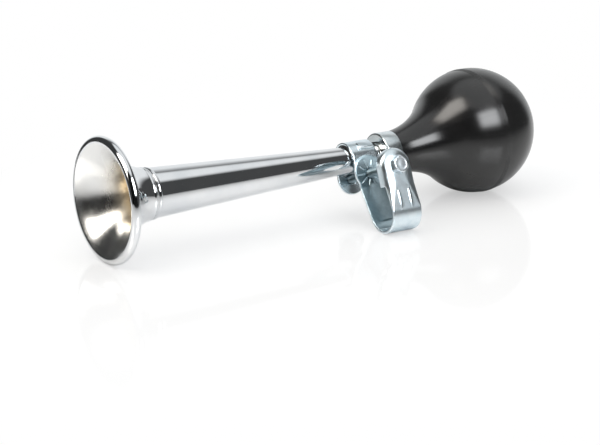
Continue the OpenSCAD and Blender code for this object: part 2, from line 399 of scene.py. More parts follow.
    @staticmethod
    def modifier(obj: bpy.types.Object, kind: str, **settings: object) -> None:
        """Adds a modifier and applies it.

        Args:
            obj: the object to change.
            kind: the modifier's type.
            settings: the modifier's own settings.
        """
        Bench.only(obj)
        bpy.ops.object.modifier_add(type=kind)
        added = obj.modifiers[-1]
        for key, value in settings.items():
            setattr(added, key, value)
        bpy.ops.object.modifier_apply(modifier=added.name)

    @staticmethod
    def combine(obj: bpy.types.Object, cutter: bpy.types.Object, cut: Cut) -> None:
        """Cuts a solid by a second one and deletes the second one."""
        Bench.modifier(obj, "BOOLEAN", operation=cut.value, object=cutter, solver="EXACT")
        bpy.data.objects.remove(cutter)

    @staticmethod
    def trim(obj: bpy.types.Object, point: Sequence[float], normal: Sequence[float]) -> None:
        """Cuts a solid along a plane and takes away the side that the plane's normal points to."""
        with Bench.editing(obj):
            bpy.ops.mesh.bisect(plane_co=point, plane_no=normal, use_fill=True, clear_outer=True)

    @staticmethod
    def slice(obj: bpy.types.Object, keep: Vector, first: Vector, second: Vector, third: Vector) -> None:
        """Cuts a solid along the plane through three points and keeps the side where a fourth one lies."""
        normal = (second - first).cross(third - first).normalized()
        Bench.trim(obj, first, -normal if normal.dot(keep - first) > 0.0 else normal)

    @staticmethod
    def join(name: str, parts: Sequence[bpy.types.Object]) -> bpy.types.Object:
        """Joins objects into the first one.

        Args:
            name: the joined object's name.
            parts: the objects.

        Returns:
            The first object, which now holds them all.
        """
        whole = parts[0]
        Bench.only(whole)
        for part in parts[1:]:
            part.select_set(True)
        bpy.ops.object.join()
        whole.name = whole.data.name = name
        return whole

    @staticmethod
    def press(name: str, parts: Sequence[bpy.types.Object], voxel: float, rounds: int) -> bpy.types.Object:
        """Fuses overlapping solids into one pressed sheet with soft edges.

        Args:
            name: the new object's name.
            parts: closed solids that overlap.
            voxel: grid size of the fused skin.
            rounds: passes of smoothing.

        Returns:
            One closed mesh.
        """
        obj = Bench.join(name, parts)
        Bench.modifier(obj, "REMESH", mode="VOXEL", voxel_size=voxel, adaptivity=0.0)
        Bench.modifier(obj, "SMOOTH", factor=0.5, iterations=rounds)
        return obj

    @staticmethod
    def shade(obj: bpy.types.Object, crease: Optional[float]) -> None:
        """Shades an object smooth.

        Args:
            obj: the object to shade.
            crease: angle in degrees above which an edge stays sharp, if any does.
        """
        Bench.only(obj)
        if crease is None:
            bpy.ops.object.shade_smooth()
        else:
            bpy.ops.object.shade_smooth_by_angle(angle=math.radians(crease))


def arc(centre: Pair, radius: float, start: float, end: float, steps: int) -> Outline:
    """Returns points on an arc, with its angles in degrees."""
    turns = [math.radians(start + (end - start) * i / steps) for i in range(steps + 1)]
    return [(centre[0] + radius * math.cos(t), centre[1] + radius * math.sin(t)) for t in turns]


def colour(red: float, green: float, blue: float) -> tuple[float, float, float, float]:
    """Returns an opaque colour."""
    return (red, green, blue, 1.0)


class Signal:
    """One shader value that takes part in Python sums."""

    def __init__(self, board: "Board", socket: bpy.types.NodeSocket) -> None:
        """Keeps the socket and the board that its nodes go on."""
        self.board = board
        self.socket = socket

    def math(self, operation: str, *others: Union["Signal", Number]) -> "Signal":
        """Adds one Math node with this value first."""
        return self.board.node("ShaderNodeMath", {"operation": operation}, dict(enumerate((self, *others))))

    def __add__(self, other: Union["Signal", Number]) -> "Signal":
        """Returns the sum."""
        return self.math("ADD", other)

    __radd__ = __add__

    def __mul__(self, other: Union["Signal", Number]) -> "Signal":
        """Returns the product."""
        return self.math("MULTIPLY", other)

    __rmul__ = __mul__

    def __sub__(self, other: Union["Signal", Number]) -> "Signal":
        """Returns the difference."""
        return self.math("SUBTRACT", other)

    def __rsub__(self, other: Number) -> "Signal":
        """Returns a number less this value."""
        return self * -1.0 + other

    def __abs__(self) -> "Signal":
        """Returns the size without its sign."""
        return self.math("ABSOLUTE")

    def rise(self, low: float, high: float) -> "Signal":
        """Returns a smooth rise from 0 at low to 1 at high; high may be the smaller one."""
        ends = (low, high, 0.0, 1.0) if low < high else (high, low, 1.0, 0.0)
        return self.board.node("ShaderNodeMapRange", {"interpolation_type": "SMOOTHSTEP", "clamp": True},
                               dict(enumerate((self, *ends))))

    def most(self, other: Union["Signal", Number]) -> "Signal":
        """Returns the larger of two values."""
        return self.math("MAXIMUM", other)

    def along(self, direction: Sequence[float]) -> "Signal":
        """Returns this vector's length along a direction."""
        return self.board.node("ShaderNodeVectorMath", {"operation": "DOT_PRODUCT"},
                               {0: self, 1: tuple(direction)}, "Value")

    def stretched(self, scale: Triple) -> "Signal":
        """Returns this vector scaled along its axes."""
        return self.board.node("ShaderNodeMapping", {}, {"Vector": self, "Scale": scale})


class Board:
    """A node tree that is filled by Python expressions."""

    def __init__(self, tree: bpy.types.NodeTree) -> None:
        """Empties the tree."""
        self.tree = tree
        tree.nodes.clear()

    @classmethod
    def for_material(cls, name: str) -> tuple[bpy.types.Material, "Board"]:
        """Returns a new material and its empty board."""
        material = bpy.data.materials.new(name)
        material.use_nodes = True
        return material, cls(material.node_tree)

    def node(self, kind: str, settings: Mapping[str, object],
             inputs: Mapping[Union[int, str], object], output: Union[int, str] = 0) -> Signal:
        """Adds any node.

        Args:
            kind: the node's type.
            settings: its properties, which are set first.
            inputs: values or signals by socket.
            output: the socket that is handed back.

        Returns:
            The chosen output.
        """
        made = self.tree.nodes.new(kind)
        for key, value in settings.items():
            setattr(made, key, value)
        for key, value in inputs.items():
            if isinstance(value, Signal):
                self.tree.links.new(value.socket, made.inputs[key])
            else:
                made.inputs[key].default_value = value
        return Signal(self, made.outputs[output])

    def place(self) -> Signal:
        """Returns the object's own coordinates, in metres."""
        return self.node("ShaderNodeTexCoord", {}, {}, "Object")

    def noise(self, vector: Signal, scale: float, detail: float, rough: float = 0.5) -> Signal:
        """Returns a cloudy value round 0.5."""
        return self.node("ShaderNodeTexNoise", {},
                         {"Vector": vector, "Scale": scale, "Detail": detail, "Roughness": rough})

    def specks(self, vector: Signal, scale: float, reach: float) -> Signal:
        """Returns 1 in small scattered dots and 0 elsewhere."""
        cells = self.node("ShaderNodeTexVoronoi", {}, {"Vector": vector, "Scale": scale}, "Distance")
        return cells.rise(reach, reach * 0.4)

    def mix(self, factor: Signal, first: Triple, second: Triple) -> Signal:
        """Returns a colour between two."""
        return self.node("ShaderNodeMix", {"data_type": "RGBA"},
                         {0: factor, 6: colour(*first), 7: colour(*second)}, 2)

    def bump(self, height: Signal, depth: float) -> Signal:
        """Returns normals for a height of the given depth in metres."""
        return self.node("ShaderNodeBump", {},
                         {"Height": height, "Strength": 1.0, "Distance": depth}, "Normal")

    def principled(self, **inputs: object) -> Signal:
        """Adds the main shader; underscores stand for the spaces of its sockets' names."""
        named = {key.replace("_", " "): value for key, value in inputs.items()}
        return self.node("ShaderNodeBsdfPrincipled", {}, named)

    def ray(self, kind: str) -> Signal:
        """Returns 1 for rays of a kind, such as Is Glossy Ray, and 0 for all others."""
        return self.node("ShaderNodeLightPath", {}, {}, kind)

    def mirrored(self, share: float) -> Signal:
        """Returns 1 for light that is seen as a reflection and a share for what falls on matt surfaces."""
        return share + (1.0 - share) * self.ray("Is Glossy Ray")

    def finish(self, shader: Signal, kind: str = "ShaderNodeOutputMaterial") -> None:
        """Adds an output node and links a shader to it."""
        made = self.tree.nodes.new(kind)
        self.tree.links.new(shader.socket, made.inputs["Surface"])


@dataclass(frozen=True)
class Finish:
    """A surface finish.

    Noise scales are cells to the metre, bump depths are metres, and what ends in rough is how much a
    pattern adds to the gloss, which is the roughness of the clean surface.
    """

    name: str

    def shader(self, board: Board) -> Signal:
        """Returns the finish's own shader."""
        raise NotImplementedError

    def material(self) -> bpy.types.Material:
        """Returns the finish as a new material."""
        material, board = Board.for_material(self.name)
        board.finish(self.shader(board))
        return material


@dataclass(frozen=True)
class ChromePlate(Finish):
    """Bright chrome over drawn sheet, with faint waves, polishing haze and a few pits."""

    name: str = "chrome_plate"
    tint: Triple = (0.80, 0.81, 0.82)
    haze: Triple = (0.72, 0.74, 0.76)
    gloss: float = 0.055
    wave_depth: float = 0.000018
    wave_scale: float = 55.0
    cloud_scale: float = 70.0
    cloud_rough: float = 0.03
    line_scale: float = 900.0
    line_rough: float = 0.02
    pit_scale: float = 420.0
    pit_reach: float = 0.09
    pit_rough: float = 0.12

    def shader(self, board: Board) -> Signal:
        """Returns the plated metal's shader."""
        place = board.place()
        cloud = board.noise(place, self.cloud_scale, detail=3.0)
        lines = board.noise(place.stretched((0.15, 1.0, 1.0)), self.line_scale, detail=2.0)
        pits = board.specks(place, self.pit_scale, self.pit_reach)
        rough = (self.gloss + self.cloud_rough * cloud.rise(0.4, 0.75)
                 + self.line_rough * lines.rise(0.5, 0.8) + self.pit_rough * pits)
        wave = board.noise(place.stretched((0.35, 1.0, 1.0)), self.wave_scale, detail=1.0)
        return board.principled(Base_Color=board.mix(cloud.rise(0.35, 0.75), self.tint, self.haze),
                                Metallic=1.0, Roughness=rough, Normal=board.bump(wave, self.wave_depth))


@dataclass(frozen=True)
class BellLining(Finish):
    """The bell's inside: thinner plating that turns brassy and dull toward the throat."""

    name: str = "bell_lining"
    plated: Triple = (0.78, 0.78, 0.77)
    brassy: Triple = (0.80, 0.66, 0.44)
    mouth_x: float = -0.1055
    throat_x: float = -0.088
    gloss: float = 0.19
    throat_rough: float = 0.24
    cloud_scale: float = 90.0
    cloud_rough: float = 0.04
    turning_scale: float = 1200.0
    turning_rough: float = 0.05
    turning_depth: float = 0.000004

    def shader(self, board: Board) -> Signal:
        """Returns the lining's shader."""
        place = board.place()
        depth = place.along(X_WAY).rise(self.mouth_x, self.throat_x)
        cloud = board.noise(place, self.cloud_scale, detail=3.0)
        turning = board.noise(place.stretched((1.0, 0.2, 0.2)), self.turning_scale, detail=2.0)
        warm = depth * (0.75 + 0.5 * cloud)
        rough = (self.gloss + self.throat_rough * depth + self.cloud_rough * cloud.rise(0.4, 0.7)
                 + self.turning_rough * turning.rise(0.45, 0.75))
        return board.principled(Base_Color=board.mix(warm, self.plated, self.brassy), Metallic=1.0,
                                Roughness=rough, Normal=board.bump(turning, self.turning_depth))


@dataclass(frozen=True)
class ZincPlate(Finish):
    """Blue-white zinc on pressed steel, with a crystal mottle and rubbed streaks."""

    name: str = "zinc_plate"
    pale: Triple = (0.78, 0.86, 0.90)
    deep: Triple = (0.68, 0.78, 0.83)
    gloss: float = 0.28
    mottle_scale: float = 260.0
    mottle_rough: float = 0.05
    grain_scale: float = 1500.0
    grain_rough: float = 0.03
    grain_depth: float = 0.000001

    def shader(self, board: Board) -> Signal:
        """Returns the zinc's shader."""
        place = board.place()
        mottle = board.noise(place, self.mottle_scale, detail=4.0, rough=0.6)
        grain = board.noise(place.stretched((1.0, 1.0, 0.12)), self.grain_scale, detail=2.0)
        rough = (self.gloss + self.mottle_rough * mottle.rise(0.35, 0.7)
                 + self.grain_rough * grain.rise(0.45, 0.75))
        return board.principled(Base_Color=board.mix(mottle.rise(0.3, 0.7), self.pale, self.deep),
                                Metallic=1.0, Roughness=rough, Normal=board.bump(grain, self.grain_depth))


@dataclass(frozen=True)
class BlackRubber(Finish):
    """Glossy moulded rubber with drawn streaks round its axis and a fine skin."""

    name: str = "black_rubber"
    deep: Triple = (0.0095, 0.0095, 0.0098)
    grey: Triple = (0.016, 0.016, 0.0155)
    gloss: float = 0.19
    axis_yz: Pair = (0.0055, 0.0285)
    cloud_scale: float = 45.0
    cloud_rough: float = 0.06
    streak_scale: float = 800.0
    streak_rough: float = 0.06
    streak_stretch: Pair = (0.05, 0.03)
    skin_scale: float = 2600.0
    skin_depth: float = 0.000004

    def shader(self, board: Board) -> Signal:
        """Returns the rubber's shader."""
        place = board.place()
        cloud = board.noise(place, self.cloud_scale, detail=3.0)
        along, across, over = (place.along(way) for way in (X_WAY, Y_WAY, Z_WAY))
        round_axis = (over - self.axis_yz[1]).math("ARCTAN2", self.axis_yz[0] - across)
        wrapped = board.node("ShaderNodeCombineXYZ", {}, {"X": self.streak_stretch[0] * along,
                                                          "Y": self.streak_stretch[1] * round_axis})
        streak = board.noise(wrapped, self.streak_scale, detail=3.0)
        skin = board.noise(place, self.skin_scale, detail=2.0)
        rough = (self.gloss + self.cloud_rough * cloud.rise(0.4, 0.75)
                 + self.streak_rough * streak.rise(0.4, 0.75))
        return board.principled(Base_Color=board.mix(cloud.rise(0.3, 0.7), self.deep, self.grey),
                                Roughness=rough, IOR=1.56,
                                Normal=board.bump(0.7 * streak + 0.3 * skin, self.skin_depth))


@dataclass(frozen=True)
class ReedBrass(Finish):
    """Plain brass with a dull bloom."""

    name: str = "reed_brass"
    bright: Triple = (0.80, 0.62, 0.30)
    dull: Triple = (0.55, 0.40, 0.18)
    gloss: float = 0.28
    bloom_scale: float = 350.0
    bloom_rough: float = 0.14
    bloom_depth: float = 0.00001

    def shader(self, board: Board) -> Signal:
        """Returns the brass's shader."""
        bloom = board.noise(board.place(), self.bloom_scale, detail=4.0)
        return board.principled(Base_Color=board.mix(bloom.rise(0.35, 0.75), self.bright, self.dull),
                                Metallic=1.0, Roughness=self.gloss + self.bloom_rough * bloom,
                                Normal=board.bump(bloom, self.bloom_depth))


@dataclass(frozen=True)
class PaintedShadeLiner(Finish):
    """Soft dark strip between clip and tube; its near-black colour is painted shade for the shadow in the
    gap under the clip.
    """

    name: str = "liner_vinyl"
    dark: Triple = (0.018, 0.018, 0.020)
    worn: Triple = (0.045, 0.045, 0.047)
    gloss: float = 0.5
    grain_scale: float = 1800.0
    grain_rough: float = 0.15
    grain_depth: float = 0.00002

    def shader(self, board: Board) -> Signal:
        """Returns the dark strip's shader."""
        grain = board.noise(board.place(), self.grain_scale, detail=3.0)
        return board.principled(Base_Color=board.mix(grain.rise(0.4, 0.7), self.dark, self.worn),
                                Roughness=self.gloss + self.grain_rough * grain,
                                Normal=board.bump(grain, self.grain_depth))


def settle(obj: bpy.types.Object, place: Matrix, body: Body, node: str,
           finish: bpy.types.Material, crease: Optional[float] = None) -> None:
    """Shades a piece, sets it in its place, hangs it under its body's empty and hides the solid that it
    stands for.

    Args:
        obj: the modelled piece, in its sub-assembly's millimetres.
        place: the sub-assembly's matrix.
        body: the body that it rides on.
        node: the solid that it stands for.
        finish: its material, used if the piece has none yet.
        crease: angle in degrees above which its edges stay sharp, if any do.
    """
    Bench.shade(obj, crease)
    Bench.set_in(obj, place)
    if not obj.data.materials:
        obj.data.materials.append(finish)
    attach(obj, body.value)
    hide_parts(node)
    log.info("%s: %d faces, rides on %s", obj.name, len(obj.data.polygons), body.value)


@dataclass
class SoundTube:
    """The bell and the tapering tube: everything bright that the sound passes.

    Distances are counted from the mouth, along the horn. The trumpet's arcs have their middle throat_run
    behind the joint, and the rim is tucked in by shares of its own radius.
    """

    bell_r: float = 27.5
    roll_r: float = 2.1
    roll_tuck: Pair = (0.3, 0.35)
    wall: float = 0.8
    flare_r: float = 27.2
    flare_stop: float = 2.0
    throat_run: float = 4.6
    bell_len: float = 19.4
    neck_r: float = 11.3
    neck_edge: Pair = (0.15, 0.08)
    front_r: float = 11.1
    rear_r: float = 5.2
    end: float = 136.4
    tube_wall: float = 0.7
    ring_r: float = 0.9
    ring_out: float = 0.38
    ring_on: float = 1.2
    bead_back: float = 1.4
    bead_lift: float = 0.55
    spigot: float = 8.0
    spigot_start: float = 0.5
    joint_gap: float = 0.03
    fit_gap: float = 0.02
    start_edge: Pair = (0.08, 0.06)
    lip_start: float = 2.0
    lip_len: float = 1.5
    lip_out: float = 0.4
    lip_edge: float = 0.2
    lining_edge: float = 0.9
    lining_front: float = 1.8
    arc_steps: int = 44
    back_steps: int = 36
    taper_steps: int = 24
    bell_facets: int = 288
    tube_facets: int = 224
    crease: float = 42.0

    def radius(self, u: float) -> float:
        """Returns the tube's outside radius at a distance from the mouth."""
        taper = (self.front_r - self.rear_r) / (self.end - self.bell_len)
        return self.front_r - taper * (u - self.bell_len)

    @property
    def flare_centre(self) -> Pair:
        """Returns the middle of the trumpet's two arcs."""
        u = self.bell_len + self.throat_run
        return u, self.radius(u) + self.flare_r

    @property
    def roll_centre(self) -> Pair:
        """Returns the middle of the rolled rim."""
        u, r = self.flare_centre
        back, down = (share * self.roll_r for share in self.roll_tuck)
        rim = self.bell_r - self.roll_r
        reach = math.sqrt((self.flare_r + self.wall / 2) ** 2 - (r - rim + down) ** 2)
        return u - reach + back, rim

    @property
    def lining_r(self) -> float:
        """Returns the radius of the trumpet's inside, which runs smoothly into the rolled rim."""
        return math.dist(self.flare_centre, self.roll_centre) + self.roll_r - 1e-4

    def meet(self, radius: float) -> Pair:
        """Finds where an arc of the trumpet enters the rolled rim.

        Args:
            radius: the arc's radius.

        Returns:
            The meeting point's angle on the arc and on the rim, in degrees.
        """
        (cu, cr), (ru, rr) = self.flare_centre, self.roll_centre
        du, dr = ru - cu, rr - cr
        gap = math.hypot(du, dr)
        on = (gap * gap + radius * radius - self.roll_r ** 2) / (2 * gap)
        off = math.sqrt(radius * radius - on * on)
        u, r = cu + (on * du - off * dr) / gap, cr + (on * dr + off * du) / gap
        return math.degrees(math.atan2(r - cr, u - cu)), math.degrees(math.atan2(r - rr, u - ru))

    def bead(self, u: float, base: float, start: float, end: float) -> Outline:
        """Returns a raised bead on a surface, between two angles of its section."""
        return arc((u, base - self.ring_r + self.ring_out), self.ring_r, start, end, steps=8)

    def bell_outline(self) -> Outline:
        """Draws the bell's wall.

        Returns:
            Its section: inside, rolled rim, outside, bead and spigot.
        """
        centre, inner = self.flare_centre, self.lining_r
        in_arc, in_roll = self.meet(inner)
        out_arc, out_roll = self.meet(self.flare_r)
        throat = -math.degrees(math.acos((self.bell_len - centre[0]) / inner))
        back = -math.degrees(math.acos((self.bell_len - self.flare_stop - centre[0]) / self.flare_r))
        bead_base = centre[1] - self.flare_r + self.bead_lift
        step, tip = self.bell_len - self.joint_gap, self.bell_len + self.spigot
        fit, bore = self.tube_wall + self.fit_gap, 2 * self.tube_wall
        return (arc(centre, inner, throat, in_arc, self.arc_steps)
                + arc(self.roll_centre, self.roll_r, in_roll + FULL_TURN, out_roll, self.arc_steps)
                + arc(centre, self.flare_r, out_arc, back, self.back_steps)
                + self.bead(self.bell_len - self.bead_back, bead_base, 120.0, 34.0)
                + [(step - self.neck_edge[0], self.neck_r), (step, self.neck_r - self.neck_edge[1]),
                   (step, self.radius(step) - fit), (tip, self.radius(tip) - fit),
                   (tip, self.radius(tip) - bore),
                   (self.bell_len - self.spigot_start, self.radius(self.bell_len) - bore)])

    def tube_outline(self) -> Outline:
        """Draws the tube's wall.

        Returns:
            Its section, with the ring by the bell and the lip at the tail.
        """
        ring_u = self.bell_len + self.ring_on
        first, last = ring_u + self.ring_r, self.end - self.lip_start
        inset, steps = 0.1, self.taper_steps
        run = last - first - 2 * inset
        stations = [first, *(first + inset + run * i / steps for i in range(steps + 1)), last]
        lip, lip_u, edge = self.rear_r + self.lip_out, self.end - self.lip_len, self.lip_edge
        start = self.bell_len + self.fit_gap
        back, down = self.start_edge
        return ([(start, self.radius(start) - down), (start + back, self.radius(start))]
                + self.bead(ring_u, self.radius(ring_u), 144.0, 36.0)
                + [(u, self.radius(u)) for u in stations]
                + [(lip_u - edge, lip - edge), (lip_u, lip), (self.end - edge, lip), (self.end, lip - edge),
                   (self.end, self.rear_r - self.tube_wall), (start, self.radius(start) - self.tube_wall)])

    def in_bell(self, face: bpy.types.MeshPolygon) -> bool:
        """Tells whether a face lies on the bell's inside or in its spigot.

        Args:
            face: a face of the bell.

        Returns:
            True where the lining shows.
        """
        u, radius = face.center.x, math.hypot(face.center.y, face.center.z)
        if u >= self.bell_len - self.spigot_start - 0.1 and radius < self.radius(u) - 1.6 * self.tube_wall:
            return True
        behind = math.dist((u, radius), self.flare_centre) > self.flare_r + self.wall / 2
        within = radius < self.bell_r - self.roll_r - self.lining_edge
        return behind and within and self.roll_centre[0] - self.lining_front < u < self.bell_len

    def in_tube(self, face: bpy.types.MeshPolygon) -> bool:
        """Tells whether a face lies on the tube's inside."""
        return math.hypot(face.center.y, face.center.z) < self.radius(face.center.x) - 0.5 * self.tube_wall

    def build(self, lie: Lie) -> None:
        """Makes and dresses the bell and the tube.

        Args:
            lie: where the horn lies.
        """
        chrome, lining = ChromePlate().material(), BellLining().material()
        shells = (("bell_flare", self.bell_outline(), self.bell_facets, self.in_bell),
                  ("horn_tube", self.tube_outline(), self.tube_facets, self.in_tube))
        for node, outline, facets, inside in shells:
            shell = Bench.lathe(f"{node}_shell", outline, facets)
            Bench.paint(shell, (chrome, lining), inside)
            settle(shell, lie.horn, Body.HORN, node, chrome, self.crease)


@dataclass
class TailAndBulb:
    """The tail fitting, the ferrule and the rubber ball."""

    collar_u: float = 136.7
    collar_r: float = 6.1
    collar_front: Pair = (0.4, 0.75)
    collar_edge: float = 0.2
    stem_len: float = 9.3
    stem_r: Pair = (4.9, 4.45)
    ferrule_u: float = 138.1
    ferrule_len: float = 8.0
    ferrule_r: float = 10.0
    ferrule_wall: float = 0.9
    ferrule_round: Pair = (0.7, 0.3)
    nipple_r: float = 5.5
    nipple_end: float = 147.0
    nipple_bore: float = 3.4
    barb_r: float = 5.85
    barb_len: float = 1.8
    barb_places: Pair = (2.6, 5.8)
    fit_gap: float = 0.02
    bend_gap: float = 0.06
    ball_r: float = 28.53
    ball_reach: float = 46.6
    shoulder_r: float = 9.8
    neck_in: float = 3.0
    neck_steps: int = 40
    ridge: float = 0.15
    ridge_half: float = 0.16
    ridge_places: Triple = (-2.3, -1.35, -0.4)
    seam_arc: Pair = (97.0, 88.0)
    seam_steps: tuple[int, int, int] = (24, 72, 56)

    @property
    def bend_u(self) -> float:
        """Returns the distance from the mouth to the bend behind the ferrule."""
        return self.ferrule_u + self.ferrule_len + self.bend_gap

    def nipple_outline(self) -> Outline:
        """Draws the tail fitting's wall.

        Returns:
            Its section, with the stem, the collar and the barbs.
        """
        collar, ferrule, edge = self.collar_u, self.ferrule_u, self.collar_edge
        foot = collar - self.stem_len
        run, rise = self.collar_front
        barbs = [point for place in self.barb_places
                 for point in ((ferrule + place, self.barb_r),
                               (ferrule + place + self.barb_len, self.nipple_r))]
        return [(foot, self.stem_r[0]), (collar - self.fit_gap, self.stem_r[1]),
                (collar, self.collar_r - rise), (collar + run, self.collar_r),
                (ferrule - edge, self.collar_r), (ferrule, self.collar_r - edge), (ferrule, self.nipple_r),
                *barbs, (self.nipple_end, self.nipple_r), (self.nipple_end, self.nipple_bore),
                (foot, self.nipple_bore)]

    def ferrule_outline(self) -> Outline:
        """Draws the cup round the neck.

        Returns:
            Its section, with a rounded front edge.
        """
        rear, front = self.ferrule_u + self.ferrule_len, self.ferrule_u + self.fit_gap
        inner, hole = self.ferrule_r - self.ferrule_wall, self.nipple_r + self.fit_gap
        large, small = self.ferrule_round
        edge = 0.1
        return ([(front, hole)]
                + arc((front + large, self.ferrule_r - large), large, 180.0, 90.0, steps=8)
                + arc((rear - small, self.ferrule_r - small), small, 90.0, 0.0, steps=5)
                + [(rear, inner + edge), (rear - edge, inner), (front + self.ferrule_wall, inner),
                   (front + self.ferrule_wall, hole)])

    def ball_outline(self) -> Outline:
        """Draws the ball's skin along its own axis.

        The neck is an arc that runs into the ball's circle, and the moulding seam is three fine ridges.

        Returns:
            The outline from inside the ferrule to the rear pole.
        """
        n, s, reach = self.shoulder_r, self.ball_r, self.ball_reach
        q = (reach * reach + n * n - s * s) / (2 * (s - n))
        t_u, t_r = reach * q / (s + q), (n + q) * s / (s + q)
        neck = [-self.neck_in + (t_u + self.neck_in) * i / self.neck_steps for i in range(self.neck_steps)]
        points = [(-self.neck_in, 0.0)] + [(u, n + q - math.sqrt(q * q - u * u)) for u in neck]
        start = math.degrees(math.atan2(t_r, t_u - reach))
        before, after = self.seam_arc
        coarse, fine, rear = self.seam_steps
        angles = [start + (before - start) * i / coarse for i in range(coarse)]
        angles += [before + (after - before) * i / fine for i in range(fine)]
        angles += [after * (1 - i / rear) for i in range(rear + 1)]
        for angle in angles:
            t = math.radians(angle)
            along = s * math.cos(t)
            lift = sum(math.exp(-((along - place) / self.ridge_half) ** 2) for place in self.ridge_places)
            r = s + self.ridge * lift
            points.append((reach + r * math.cos(t), r * math.sin(t)))
        points[-1] = (reach + s, 0.0)
        return points

    def build(self, lie: Lie) -> None:
        """Makes and dresses the tail fitting, the ferrule and the ball.

        Args:
            lie: where the horn lies.
        """
        nickel = ChromePlate("nickel_tail", (0.72, 0.72, 0.70), (0.62, 0.62, 0.61), 0.14).material()
        nipple = Bench.lathe("tail_nipple_turned", self.nipple_outline(), steps=128)
        settle(nipple, lie.horn, Body.HORN, "tail_nipple", nickel, crease=35.0)

        zinc = ZincPlate("ferrule_zinc", (0.74, 0.79, 0.80), (0.60, 0.67, 0.70), 0.20).material()
        ferrule = Bench.lathe("bulb_ferrule_cup", self.ferrule_outline(), steps=192)
        settle(ferrule, lie.horn, Body.HORN, "bulb_ferrule", zinc, crease=42.0)

        rubber = BlackRubber().material()
        ball = Bench.lathe("bulb_skin", self.ball_outline(), steps=224, ring=False)
        Bench.set_in(ball, lie.ball)
        Bench.trim(ball, lie.bend, -lie.horn_axis)
        settle(ball, Matrix.Identity(4), Body.HORN, "bulb", rubber, crease=60.0)
        pole = self.ball_reach + self.ball_r
        travel = next(j for j in frame["joints"] if j["name"] == "bulb_squeeze")["range_m"][1]
        1.0 - travel / (pole * MM)
        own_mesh(ball)


